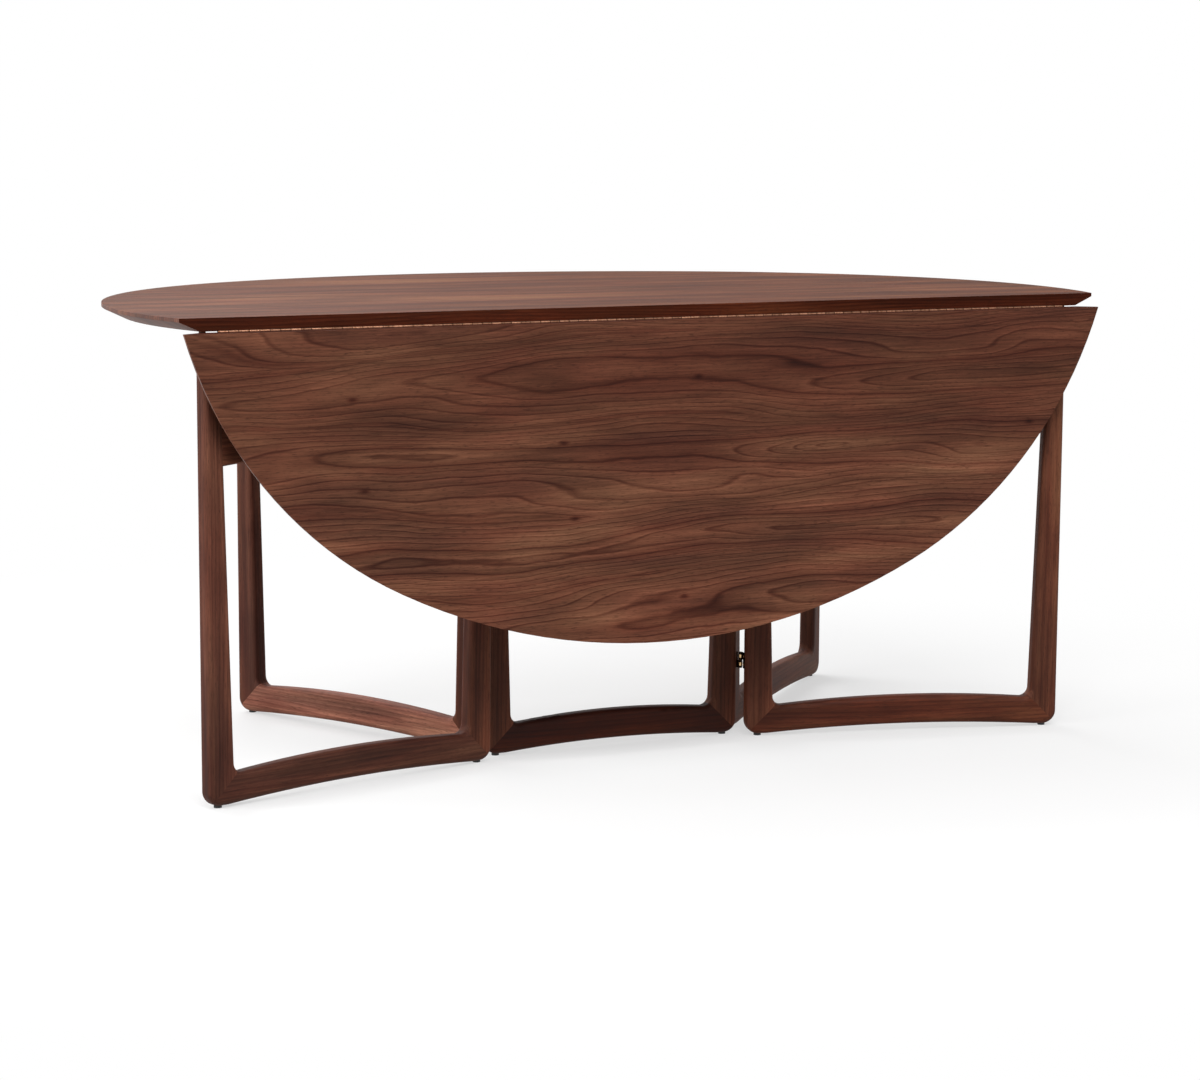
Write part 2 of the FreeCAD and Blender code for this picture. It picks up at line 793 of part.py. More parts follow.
def screws_into_centre_panel():
    """Screws that stand in wells in the centre frame's top rail."""
    head_z = underside - s.top_screw_grip
    head = rod("top_screw_head", s.top_screw_head_radius, s.top_screw_head_height,
               z=head_z - s.top_screw_head_height)
    shank = rod("top_screw_shank", s.top_screw_radius, s.top_screw_grip + s.top_screw_bite,
                z=head_z)
    screw = fuse("top_screw", [head, shank])
    well = rod("top_screw_well", s.top_screw_head_radius + s.top_screw_well_clearance,
               s.top_rail_depth, z=head_z - s.top_rail_depth)
    spacing = (s.centre_frame_length - 2 * s.top_screw_margin) / (s.top_screw_count - 1)
    screws = []
    wells = []
    for index in range(int(s.top_screw_count.number)):
        x = (index - (s.top_screw_count - 1) / 2) * spacing
        screws.append(group("top_screw_" + str(index), [screw], x=x))
        wells.append(group("top_screw_well_" + str(index), [well], x=x))
    return group("top_screws", screws), group("top_screw_wells", wells)


def add_centre():
    top_screws, wells = screws_into_centre_panel()
    front_tools = group("front_centre_tools", [centre_tools], y=-hinge_line, z=pin_height,
                        angle=180)
    rear_tools = group("rear_centre_tools", [centre_tools], y=hinge_line, z=pin_height)
    panel = centre_panel_blank()
    for name, tool in (("front", front_tools), ("rear", rear_tools), ("screwed", top_screws)):
        panel = cut("centre_panel_" + name, panel, tool)
    add_node("centre_panel", panel, y=centre_line_y)
    start_x = -s.centre_frame_length / 2
    rail = group("placed_top_rail", [post["upper_rail"]], x=start_x)
    rail = cut("top_rail_drilled", cut("top_rail_welled", rail, wells), top_screws)
    add_node("centre_frame_top_rail", rail, y=centre_line_y)
    for label, key in (("centre_frame_left_leg", "near_leg"),
                       ("centre_frame_right_leg", "far_leg")):
        leg = group("placed_" + key, [post[key]], x=start_x)
        add_node(label, cut("drilled_" + key, leg, all_fixed_screws), y=centre_line_y)
    for label, key in (("centre_frame_bottom_rail", "bottom_rail"),
                       ("centre_frame_tenons", "tenons"),
                       ("centre_frame_glides", "glides")):
        add_node(label, post[key], x=start_x, y=centre_line_y)
    add_node("centre_frame_screws", top_screws, y=centre_line_y)
    add_node("gate_hinge_fixed_flaps", all_fixed_flaps, y=centre_line_y)
    add_node("gate_hinge_fixed_screws", all_fixed_screws, y=centre_line_y)
    add_node("gate_hinge_pins", all_gate_pins, y=centre_line_y)


def add_long_hinges():
    """The leaves, and the parts of each long hinge on the panel and on the leaf."""
    fixed = (("fixed_flap", fixed_flap), ("pin", long_pin), ("fixed_screws", fixed_screws))
    moving = (("leaf_flap", leaf_flap), ("leaf_screws", leaf_screws))
    for label, part in fixed:
        add_node("front_hinge_" + label, part, y=centre_line_y - hinge_line, z=pin_height,
                 angle=180)
        add_node("rear_hinge_" + label, part, y=centre_line_y + hinge_line, z=pin_height)
    hanging = [("front_leaf_panel", leaf_panel)]
    hanging += [("front_hinge_" + label, part) for label, part in moving]
    for label, part in hanging:
        faced = group(label + "_faced", [part], angle=180)
        add_node(label, faced, y=centre_line_y - hinge_line, z=pin_height, axis=ALONG,
                 angle=90 + s.leaf_lean)
    level = [("rear_leaf_panel", leaf_panel)]
    level += [("rear_hinge_" + label, part) for label, part in moving]
    for label, part in level:
        add_node(label, part, y=centre_line_y + hinge_line, z=pin_height)


def gate_set(side):
    """A gate's pieces about its pivot. The frame lies on the +Y side, or on -Y where side is IN."""
    name = "outer_side" if side == OUT else "inner_side"
    where = {"x": s.gate_gap, "y": side * s.frame_thickness / 2}
    pieces = {}
    for key, part in gate.items():
        pieces[key] = group(name + "_" + key, [part], **where)
    pieces["hinge_flaps"] = moving_flaps
    pieces["hinge_screws"] = moving_screws
    if side == IN:
        for key in ("hinge_flaps", "hinge_screws"):
            pieces[key] = mirrored(name + "_" + key, pieces[key], ACROSS)
    pieces["near_leg"] = cut(name + "_drilled_leg", pieces["near_leg"], pieces["hinge_screws"])
    pieces["rest_pad"] = rod(name + "_rest_pad", s.pad_radius, s.gate_drop - s.pad_clearance,
                             x=s.gate_gap + gate_length - s.pad_inset,
                             y=side * s.frame_thickness / 2, z=gate_top)
    return pieces


GATE_PIECES = {
    "hinge_leg": "near_leg",
    "outer_leg": "far_leg",
    "bottom_rail": "bottom_rail",
    "upper_rail": "upper_rail",
    "tenons": "tenons",
    "glides": "glides",
    "rest_pad": "rest_pad",
    "hinge_flaps": "hinge_flaps",
    "hinge_screws": "hinge_screws",
}


def add_gates():
    outer = gate_set(OUT)
    inner = gate_set(IN)
    gates = (
        ("front_left_gate_", outer, -pivot_x, -pivot_y, 180 + front_left_angle),
        ("rear_left_gate_", inner, -pivot_x, pivot_y, 180 - s.rear_left_angle),
        ("front_right_gate_", inner, pivot_x, -pivot_y, -front_right_angle),
        ("rear_right_gate_", outer, pivot_x, pivot_y, s.rear_right_angle),
    )
    for prefix, pieces, x, y, angle in gates:
        for label, key in GATE_PIECES.items():
            add_node(prefix + label, pieces[key], x=x, y=centre_line_y + y, angle=angle)


add_centre()
add_long_hinges()
add_gates()
doc.recompute()

for thing in doc.Objects:
    if "Invalid" in thing.State or "Error" in thing.State:
        raise RuntimeError(thing.Name + " has failed")
os.makedirs("parts", exist_ok=True)
for node in nodes:
    solids = node.Shape.Solids
    if not solids or not node.Shape.isValid():
        raise RuntimeError(node.Label + " is not valid")
    kept = solids[0] if len(solids) == 1 else Part.makeCompound(solids)
    kept.exportStep(os.path.join("parts", node.Label + ".step"))
print("pieces in nodes:", len(nodes), "solids:", sum(len(node.Shape.Solids) for node in nodes))
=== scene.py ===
import json
import math

import bpy
from mathutils import Euler, Matrix, Vector

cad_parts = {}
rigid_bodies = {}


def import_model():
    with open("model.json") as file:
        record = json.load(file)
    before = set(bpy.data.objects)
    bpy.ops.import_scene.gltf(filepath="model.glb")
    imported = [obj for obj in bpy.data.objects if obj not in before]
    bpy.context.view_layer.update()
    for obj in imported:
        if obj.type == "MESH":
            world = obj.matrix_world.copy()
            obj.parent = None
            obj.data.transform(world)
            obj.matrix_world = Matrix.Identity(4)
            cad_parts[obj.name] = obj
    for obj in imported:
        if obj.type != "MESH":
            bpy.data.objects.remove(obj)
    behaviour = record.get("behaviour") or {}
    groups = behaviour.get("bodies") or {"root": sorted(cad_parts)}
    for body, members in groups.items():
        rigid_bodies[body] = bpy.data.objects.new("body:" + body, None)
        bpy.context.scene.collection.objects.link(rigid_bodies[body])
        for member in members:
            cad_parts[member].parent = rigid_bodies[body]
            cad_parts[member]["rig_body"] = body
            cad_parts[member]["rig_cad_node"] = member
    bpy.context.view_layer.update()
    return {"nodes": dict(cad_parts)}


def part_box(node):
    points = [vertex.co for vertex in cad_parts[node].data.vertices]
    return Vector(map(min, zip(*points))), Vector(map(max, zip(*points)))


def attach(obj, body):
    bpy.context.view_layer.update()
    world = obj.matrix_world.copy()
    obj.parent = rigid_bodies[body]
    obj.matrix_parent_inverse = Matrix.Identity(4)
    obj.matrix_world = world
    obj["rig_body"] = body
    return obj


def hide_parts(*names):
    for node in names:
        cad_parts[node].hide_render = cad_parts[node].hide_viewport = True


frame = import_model()


# Studio. A pale floor runs out to white on every side, under a white surround.
# Three wide soft lamps stand at the left, behind and above, and in front and above.

CAMERA_PLACE = (-2.1573, -4.6724, 1.0465)
CAMERA_YAW = -0.4492
CAMERA_TILT = 0.1439
CAMERA_ROLL = 0.0051
SENSOR_WIDTH = 36
FOCAL_LENGTH = 93.507
FLOOR_SIZE = 40
FLOOR_SEEN = 0.8
FLOOR_BOUNCE = 0.35
FLOOR_WHITE_SHARE = 0.55
FLOOR_FADE = (0.8, 1.9)
LOW_LIGHT = 0.22
HIGH_LIGHT = 0.85
# The name, place, target, width, height and power of each lamp.
LAMPS = (
    ("left_lamp", (-3.4, -0.4, 1.9), (0, 0, 0.35), 2.2, 2.2, 75),
    ("rear_lamp", (-0.6, 2.6, 3.2), (0, 0, 0.4), 3.2, 2.0, 110),
    ("front_lamp", (-0.8, -3.2, 3.4), (0, 0, 0.4), 2.6, 1.6, 110),
)


def new_material(name):
    """A material with an empty tree but for its output."""
    material = bpy.data.materials.new(name)
    material.use_nodes = True
    nodes = material.node_tree.nodes
    for node in [n for n in nodes if n.type != "OUTPUT_MATERIAL"]:
        nodes.remove(node)
    return material


def add(tree, kind, inputs, **settings):
    """A node with its settings, and with its inputs set to a value or linked to an output."""
    node = tree.nodes.new("ShaderNode" + kind)
    for setting, value in settings.items():
        setattr(node, setting, value)
    for socket, value in inputs.items():
        if isinstance(value, bpy.types.NodeSocket):
            tree.links.new(value, node.inputs[socket])
        else:
            node.inputs[socket].default_value = value
    return node


def to_output(tree, shader):
    output = next(n for n in tree.nodes if n.type.startswith("OUTPUT"))
    tree.links.new(shader, output.inputs["Surface"])


def seen_directly(tree):
    """1 for what the camera sees itself or in a gloss or through glass, and 0 for diffuse light."""
    path = add(tree, "LightPath", {})
    gloss = add(tree, "Math", {0: path.outputs["Is Camera Ray"],
                               1: path.outputs["Is Glossy Ray"]}, operation="MAXIMUM")
    return add(tree, "Math", {0: gloss.outputs[0], 1: path.outputs["Is Transmission Ray"]},
               operation="MAXIMUM").outputs[0]


def studio_floor():
    material = new_material("studio_floor")
    tree = material.node_tree
    place = add(tree, "TexCoord", {}).outputs["Object"]
    distance = add(tree, "VectorMath", {0: place}, operation="LENGTH").outputs["Value"]
    near, far = FLOOR_FADE
    fade = add(tree, "MapRange", {"Value": distance, "From Min": near, "From Max": far,
                                  "To Min": FLOOR_WHITE_SHARE, "To Max": 1},
               interpolation_type="SMOOTHSTEP").outputs["Result"]
    seen = seen_directly(tree)
    share = add(tree, "Math", {0: fade, 1: seen}, operation="MULTIPLY")
    grey = add(tree, "MapRange", {"Value": seen, "To Min": FLOOR_BOUNCE, "To Max": FLOOR_SEEN})
    lit = add(tree, "BsdfDiffuse", {"Color": grey.outputs["Result"]})
    white = add(tree, "Emission", {"Strength": 1})
    mixed = add(tree, "MixShader", {0: share.outputs[0], 1: lit.outputs[0],
                                    2: white.outputs[0]})
    to_output(tree, mixed.outputs[0])
    bpy.ops.mesh.primitive_plane_add(size=FLOOR_SIZE)
    floor = bpy.context.object
    floor.name = "studio_floor"
    floor.data.materials.append(material)


def white_surround():
    world = bpy.data.worlds.new("white_surround")
    world.use_nodes = True
    tree = world.node_tree
    tree.nodes.clear()
    output = add(tree, "OutputWorld", {})
    direction = add(tree, "TexCoord", {}).outputs["Generated"]
    height = add(tree, "SeparateXYZ", {"Vector": direction}).outputs["Z"]
    light = add(tree, "MapRange", {"Value": height, "To Min": LOW_LIGHT,
                                   "To Max": HIGH_LIGHT}).outputs["Result"]
    strength = add(tree, "MapRange", {"Value": seen_directly(tree), "To Min": light,
                                      "To Max": 1})
    background = add(tree, "Background", {"Color": (1, 1, 1, 1),
                                          "Strength": strength.outputs["Result"]})
    tree.links.new(background.outputs[0], output.inputs["Surface"])
    bpy.context.scene.world = world


def soft_lamp(name, place, target, width, height, power):
    bpy.ops.object.light_add(type="AREA", location=place)
    lamp = bpy.context.object
    lamp.name = name
    lamp.data.shape = "RECTANGLE"
    lamp.data.size = width
    lamp.data.size_y = height
    lamp.data.energy = power
    lamp.rotation_euler = (Vector(target) - Vector(place)).to_track_quat("-Z", "Y").to_euler()


bpy.ops.object.select_all(action="DESELECT")
studio_floor()
white_surround()
for lamp in LAMPS:
    soft_lamp(*lamp)

bpy.ops.object.camera_add(location=CAMERA_PLACE)
camera = bpy.context.object
turn = Matrix.Rotation(CAMERA_YAW, 3, "Z") @ Matrix.Rotation(math.pi / 2 - CAMERA_TILT, 3, "X")
camera.rotation_euler = (turn @ Matrix.Rotation(CAMERA_ROLL, 3, "Z")).to_euler()
camera.data.sensor_width = SENSOR_WIDTH
camera.data.lens = FOCAL_LENGTH
bpy.context.scene.camera = camera
bpy.context.scene.view_settings.view_transform = "Standard"


# Centre panel. A board of walnut veneer laid along the table, square at its top edge and
# planed away below it in a long bevel round both curved ends. It is oiled, with a soft sheen.

WALNUT_DARK = (68, 39, 29)
WALNUT_BROWN = (95, 56, 40)
WALNUT_TAN = (118, 75, 54)
WALNUT_PORE = (44, 24, 17)
WALNUT_REDDER = (1.05, 0.97, 0.94, 1)
WALNUT_YELLOWER = (0.97, 1.02, 0.96, 1)
WINE_LEAN = 0.72
# Each unevenness of the wood: its stretch along the grain, scale, detail and roughness.
SWELL = (6, 11, 1.6, 0.4)
WANDER = (5, 7, 2, 0.4)
WOBBLE = (3, 30, 2, 0.4)
BROAD = (25, 12, 1, 0.5)
PATCHES = (7, 20, 3, 0.5)
HUE = (9, 38, 2, 0.5)
CLOUDS = (2.5, 16, 3, 0.5)
FIBRE = (36, 1 / 0.0024, 3, 0.7)
PORES = (14, 1 / 0.0009, 1, 0.5)
# How each of them tells: the value at which a tone, hue or share stands, and how strong it is.
PATCH_PLACES = (0.26, 0.5, 0.72)
BROAD_MARKS = ((0.35, 0.91), (0.62, 1.09))
HUE_PLACES = (0.38, 0.62)
LINE_SHARES = ((0.35, 0.95), (0.7, 0.5))
BAND_SHARE = 0.75
CLOUD_MARKS = ((0.38, 0.62), (0.6, 1.16))
CLOUD_SHIFT = 3
FIBRE_MARKS = ((0.3, 0.68), (0.68, 1.34))
PORE_MARKS = ((0.59, 0), (0.7, 0.55))
LINE_SPACING = 0.0052
LINE_SWING = 0.03
LINES_TO_A_BAND = 5.3
STRAIGHT_LINE = ((0, 0.8), (0.12, 1.14), (0.5, 0.98), (0.86, 0.5), (1, 0.8))
STRAIGHT_BAND = ((0, 0.85), (0.1, 1.14), (0.6, 1.02), (0.94, 0.56), (1, 0.85))
FLAME_SPACING = 0.007
FLAME_LINE = ((0, 0.78), (0.08, 1.3), (0.25, 1.07), (0.78, 0.92), (0.92, 0.24), (1, 0.55))
FLAME_BAND = ((0, 0.82), (0.07, 1.14), (0.8, 1.0), (0.95, 0.46), (1, 0.82))
HEART_SWAY = 0.16
HEART_DIVE = 0.09
HEART_SLANT = -0.025
HEART_DEPTH = -0.022
RING_WOBBLE = 0.007
# The hanging leaf's change of tone from its lower edge to its top: partly the veneer's own, partly
# painted light from the floor on its lower part.
HEART_AND_FLOOR_LIGHT_REACH = 0.24
HEART_AND_FLOOR_LIGHT_MARKS = ((0, 1.34), (0.5, 1.1), (0.8, 0.72), (1, 0.82))
KNOT_SPACING = 0.14
KNOT_STRETCH = 2.2
KNOT_SHARE = 0.55
KNOT_MARKS = ((0.01, 0.25), (0.024, 0.6), (0.04, 0.94), (0.09, 1))
WAVE_UNIT = math.pi / 10
SKIN_ROUGH = (0.52, 0.68)
SKIN_RELIEF = 0.25
SKIN_DEPTH = 0.0003
MERGE_DISTANCE = 1e-5
FLAT_ANGLE = math.radians(0.5)
ARRIS = 0.0008
SHARP_ANGLE = math.radians(20)
STRAIGHT_EDGE = 0.95
FLAT_FACE = 0.98
BEVEL_GLOSS = 0.5
LIPPING_SHADE = 0.54
LIPPING_STAIN = (1, 0.68, 0.54)
TOP_SHADE = 0.92
TOP_CONTRAST = 1.2
TOP_STAIN = (1, 1.01, 0.93)
TOP_GLOSS = 0.04


def tone(red, green, blue):
    """A colour as Blender wants it, from the numbers of a paint chart."""
    def straight(value):
        share = value / 255
        return share / 12.92 if share < 0.04045 else ((share + 0.055) / 1.055) ** 2.4
    return (straight(red), straight(green), straight(blue), 1)


def ramp(tree, value, *stops):
    """A colour that follows a value, through stops of a place and a colour or a grey."""
    node = add(tree, "ValToRGB", {"Fac": value})
    marks = node.color_ramp.elements
    while len(marks) < len(stops):
        marks.new(0.5)
    for mark, (place, colour) in zip(marks, stops):
        mark.position = place
        mark.color = colour if isinstance(colour, tuple) else (colour, colour, colour, 1)
    return node.outputs["Color"]


def wine(*marks):
    """Stops of a ramp from greys, the dark ones leaning to the red of walnut's dark lines."""
    return [(place, (max(grey, grey ** WINE_LEAN), grey, grey, 1)) for place, grey in marks]


def tinted(tree, colour, other, share=1.0, blend="MULTIPLY"):
    mix = add(tree, "Mix", {0: share, 6: colour, 7: other}, data_type="RGBA", blend_type=blend)
    return mix.outputs[2]


def stretched(tree, vector, stretch):
    return add(tree, "Mapping", {"Vector": vector, "Scale": (1 / stretch, 1, 1)}).outputs[0]


def uneven(tree, board, stretch, scale, detail, rough):
    """Noise drawn out along the grain."""
    return add(tree, "TexNoise", {"Vector": stretched(tree, board, stretch), "Scale": scale,
                                  "Detail": detail, "Roughness": rough})


def straight_flow(tree, board):
    """The board's own place, with its growth lines swung a little across it."""
    swell = uneven(tree, board, *SWELL).outputs[0]
    across = add(tree, "Math", {0: swell, 1: LINE_SWING}, operation="MULTIPLY").outputs[0]
    aside = add(tree, "CombineXYZ", {"Z": across}).outputs[0]
    return add(tree, "VectorMath", {0: board, 1: aside}, operation="ADD").outputs[0]


def flame_flow(tree, board, row):
    """The growth rings of leaves of veneer cut flat from the log: rows of nested pointed arches.
    Each ring is a circle about the log's heart, which wanders just below the veneer."""
    place = add(tree, "SeparateXYZ", {"Vector": board})
    wander = uneven(tree, board, *WANDER).outputs["Color"]
    aside = add(tree, "SeparateColor", {"Color": wander})
    wobble = uneven(tree, board, *WOBBLE).outputs[0]
    height = add(tree, "Math", {0: aside.outputs[0], 1: HEART_SWAY, 2: place.outputs["Z"]},
                 operation="MULTIPLY_ADD").outputs[0]
    height = add(tree, "Math", {0: height, 1: row / 2}, operation="PINGPONG").outputs[0]
    slant = add(tree, "Math", {0: place.outputs["X"], 1: HEART_SLANT, 2: HEART_DEPTH},
                operation="MULTIPLY_ADD").outputs[0]
    depth = add(tree, "Math", {0: aside.outputs[1], 1: HEART_DIVE, 2: slant},
                operation="MULTIPLY_ADD").outputs[0]
    spoke = add(tree, "CombineXYZ", {"X": height, "Y": depth}).outputs[0]
    ring = add(tree, "VectorMath", {0: spoke}, operation="LENGTH").outputs["Value"]
    ring = add(tree, "Math", {0: wobble, 1: RING_WOBBLE, 2: ring},
               operation="MULTIPLY_ADD").outputs[0]
    return add(tree, "CombineXYZ", {"X": place.outputs["X"], "Y": place.outputs["Y"],
                                    "Z": ring}).outputs[0]


def knots(tree, board, colour):
    """Small dark pin knots, which only some of the places on a loose grid have."""
    place = add(tree, "SeparateXYZ", {"Vector": stretched(tree, board, KNOT_STRETCH)})
    flat = add(tree, "CombineXYZ", {"X": place.outputs["X"], "Y": place.outputs["Z"]}).outputs[0]
    grid = add(tree, "TexVoronoi", {"Vector": flat, "Scale": 1 / KNOT_SPACING},
               voronoi_dimensions="2D")
    pick = add(tree, "SeparateColor", {"Color": grid.outputs["Color"]}).outputs[0]
    has_knot = add(tree, "Math", {0: pick, 1: KNOT_SHARE}, operation="LESS_THAN").outputs[0]
    mark = ramp(tree, grid.outputs["Distance"], *wine(*KNOT_MARKS))
    return tinted(tree, colour, mark, share=has_knot)


def walnut(name, centre, along, twist=0.0, flame_row=None, contrast=1.0, cloud=0.0,
           shade=1.0, stain=(1, 1, 1), gloss=0.15):
    """Oiled walnut on a board that lies along one way from its centre, straight in its grain,
    or with flames that stand in rows so far apart. Clouds are slow changes of its tone."""
    material = new_material(name)
    tree = material.node_tree
    turn = Vector(along).to_track_quat("X", "Z") @ Euler((twist, 0, 0)).to_quaternion()
    board = add(tree, "Mapping", {"Vector": add(tree, "TexCoord", {}).outputs["Object"],
                                  "Location": centre, "Rotation": turn.to_euler()},
                vector_type="TEXTURE").outputs[0]
    if flame_row:
        flow = flame_flow(tree, board, flame_row)
        spacing, line_marks, band_marks = FLAME_SPACING, FLAME_LINE, FLAME_BAND
    else:
        flow = straight_flow(tree, board)
        spacing, line_marks, band_marks = LINE_SPACING, STRAIGHT_LINE, STRAIGHT_BAND
    lines = add(tree, "TexWave", {"Vector": flow, "Scale": WAVE_UNIT / spacing},
                bands_direction="Z", wave_profile="SAW").outputs["Fac"]
    bands = add(tree, "TexWave", {"Vector": flow,
                                  "Scale": WAVE_UNIT / spacing / LINES_TO_A_BAND},
                bands_direction="Z", wave_profile="SAW").outputs["Fac"]
    broad = uneven(tree, flow, *BROAD).outputs[0]
    hue = uneven(tree, flow, *HUE).outputs[0]
    patches = uneven(tree, board, *PATCHES).outputs[0]
    fibre = uneven(tree, board, *FIBRE).outputs[0]
    pores = uneven(tree, board, *PORES).outputs[0]
    browns = (tone(*WALNUT_DARK), tone(*WALNUT_BROWN), tone(*WALNUT_TAN))
    colour = ramp(tree, patches, *zip(PATCH_PLACES, browns))
    colour = tinted(tree, colour, ramp(tree, broad, *wine(*BROAD_MARKS)))
    colour = tinted(tree, colour, ramp(tree, hue, *zip(HUE_PLACES,
                                                       (WALNUT_REDDER, WALNUT_YELLOWER))))
    line_share = ramp(tree, patches, *[(place, share * contrast) for place, share in LINE_SHARES])
    colour = tinted(tree, colour, ramp(tree, lines, *wine(*line_marks)), share=line_share)
    colour = tinted(tree, colour, ramp(tree, bands, *wine(*band_marks)),
                    share=BAND_SHARE * contrast)
    if cloud:
        own_place = add(tree, "VectorMath", {0: board, 1: Vector(centre) * CLOUD_SHIFT},
                        operation="ADD").outputs[0]
        clouds = uneven(tree, own_place, *CLOUDS).outputs[0]
        colour = tinted(tree, colour, ramp(tree, clouds, *wine(*CLOUD_MARKS)), share=cloud)
    colour = tinted(tree, colour, ramp(tree, fibre, *[(place, grey * shade)
                                                      for place, grey in FIBRE_MARKS]))
    colour = tinted(tree, colour, (*stain, 1))
    # The hanging leaf is painted paler towards its lower edge and darker towards its top: partly
    # the veneer's own tone, partly painted light from the floor.
    if flame_row:
        height = add(tree, "SeparateXYZ", {"Vector": board}).outputs["Z"]
        share = add(tree, "MapRange", {"Value": height, "From Min": -HEART_AND_FLOOR_LIGHT_REACH,
                                       "From Max": HEART_AND_FLOOR_LIGHT_REACH}).outputs["Result"]
        colour = tinted(tree, colour, ramp(tree, share, *wine(*HEART_AND_FLOOR_LIGHT_MARKS)))
        colour = knots(tree, board, colour)
    open_pore = ramp(tree, pores, *PORE_MARKS)
    colour = tinted(tree, colour, tone(*WALNUT_PORE), share=open_pore, blend="MIX")
    relief = add(tree, "Math", {0: fibre, 1: open_pore}, operation="SUBTRACT").outputs[0]
    bump = add(tree, "Bump", {"Height": relief, "Strength": SKIN_RELIEF,
                              "Distance": SKIN_DEPTH})
    smooth, coarse = SKIN_ROUGH
    rough = add(tree, "MapRange", {"Value": fibre, "To Min": smooth, "To Max": coarse})
    skin = add(tree, "BsdfPrincipled", {"Base Color": colour,
                                        "Roughness": rough.outputs["Result"],
                                        "Specular IOR Level": gloss,
                                        "Normal": bump.outputs[0]})
    to_output(tree, skin.outputs[0])
    return material


def finish_node(name, material):
    """Gives a CAD node its material."""
    node = frame["nodes"][name]
    if not node.material_slots:
        node.data.materials.append(material)
    for place in node.material_slots:
        place.material = material


def middle(name):
    low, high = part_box(name)
    return (low + high) / 2


def eased_panel(name, body, facing, material, lipping, bevel):
    """The panel with its arrises just taken off, from a merged copy of the CAD node. Its straight
    edges have the darker finish of the lipping, and its bevel shines more than its flat faces."""
    panel = frame["nodes"][name].copy()
    panel.data = panel.data.copy()
    panel.parent = None
    bpy.context.scene.collection.objects.link(panel)
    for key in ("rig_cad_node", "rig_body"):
        del panel[key]
    panel.name = name + "_eased"
    bpy.ops.object.select_all(action="DESELECT")
    panel.select_set(True)
    bpy.context.view_layer.objects.active = panel
    bpy.ops.mesh.customdata_custom_splitnormals_clear()
    bpy.ops.object.mode_set(mode="EDIT")
    bpy.ops.mesh.select_all(action="SELECT")
    bpy.ops.mesh.remove_doubles(threshold=MERGE_DISTANCE)
    bpy.ops.mesh.dissolve_limited(angle_limit=FLAT_ANGLE)
    bpy.ops.object.mode_set(mode="OBJECT")
    arris = panel.modifiers.new("arris", "BEVEL")
    arris.width = ARRIS
    arris.segments = 2
    arris.limit_method = "ANGLE"
    arris.angle_limit = SHARP_ANGLE
    arris.use_clamp_overlap = True
    bpy.ops.object.modifier_apply(modifier="arris")
    bpy.ops.object.shade_smooth_by_angle(angle=SHARP_ANGLE)
    panel.data.materials.clear()
    for finish in (material, lipping, bevel):
        panel.data.materials.append(finish)
    for face in panel.data.polygons:
        if abs(face.normal.cross(facing).x) > STRAIGHT_EDGE:
            face.material_index = 1
        elif abs(face.normal.dot(facing)) < FLAT_FACE:
            face.material_index = 2
    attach(panel, body)
    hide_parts(name)


ALONG_TABLE = (1, 0, 0)
LEVEL = Vector((0, 0, 1))
eased_panel("centre_panel", "centre", LEVEL,
            walnut("walnut_centre_panel", middle("centre_panel"), ALONG_TABLE,
                   twist=math.pi / 2, contrast=TOP_CONTRAST, shade=TOP_SHADE,
                   stain=TOP_STAIN, gloss=TOP_GLOSS),
            walnut("walnut_centre_lipping", middle("centre_panel"), ALONG_TABLE,
                   shade=LIPPING_SHADE, stain=LIPPING_STAIN, gloss=TOP_GLOSS),
            walnut("walnut_centre_bevel", middle("centre_panel"), ALONG_TABLE,
                   twist=math.pi / 2, contrast=TOP_CONTRAST, gloss=BEVEL_GLOSS))


# Leaves. Each is a half-round walnut panel with the same edge and bevel as the centre's.
# The front one hangs, and shows the flame figure of veneer cut flat from the log.

LEAF_LEAN = math.radians(1.7)
FLAME_ROW = 0.12
# The hanging leaf's greyer, cooler tint: partly the veneer's own colour, partly a painted sheen.
FLAME_STAIN_AND_SHEEN = (1.01, 1.1, 1.2)
FLAME_GLOSS = 0.1

for side, facing, twist, row, contrast, shade, stain, gloss in (
        ("front", Vector((0, math.cos(LEAF_LEAN), math.sin(LEAF_LEAN))), 0, FLAME_ROW, 1, 1,
         FLAME_STAIN_AND_SHEEN, FLAME_GLOSS),
        ("rear", LEVEL, math.pi / 2, None, TOP_CONTRAST, TOP_SHADE, TOP_STAIN, TOP_GLOSS)):
    panel = side + "_leaf_panel"
    eased_panel(panel, side + "_leaf", facing,
                walnut("walnut_" + panel, middle(panel), ALONG_TABLE, twist, flame_row=row,
                       contrast=contrast, shade=shade, stain=stain, gloss=gloss),
                walnut("walnut_" + side + "_lipping", middle(panel), ALONG_TABLE,
                       math.pi / 4, shade=LIPPING_SHADE, stain=LIPPING_STAIN),
                walnut("walnut_" + side + "_bevel", middle(panel), ALONG_TABLE, twist,
                       contrast=contrast, gloss=BEVEL_GLOSS))


# Centre frame. A trestle of solid walnut under the centre panel: two legs and a low rail
# mitred together in one rounded outline, and a deep top rail screwed up into the panel.

UPRIGHT = (0, 0, 1)
LEG_TWIST = math.radians(35)
FRAME_CONTRAST = 0.75
FRAME_CLOUD = 0.8
# Each board's tint, mostly its own colour; the rear left gate's low rail is made paler, greyer and
# bluer by a painted sheen.
BOARD_STAINS_AND_SHEEN = {
    "centre_frame_bottom_rail": (1, 0.62, 0.52),
    "front_left_gate_bottom_rail": (0.92, 0.96, 1.1),
    "front_left_gate_outer_leg": (0.92, 0.97, 1.1),
    "front_right_gate_bottom_rail": (1, 0.8, 0.74),
    "rear_left_gate_bottom_rail": (1.16, 1.42, 1.78),
    "rear_left_gate_outer_leg": (0.92, 0.97, 1.1),
}
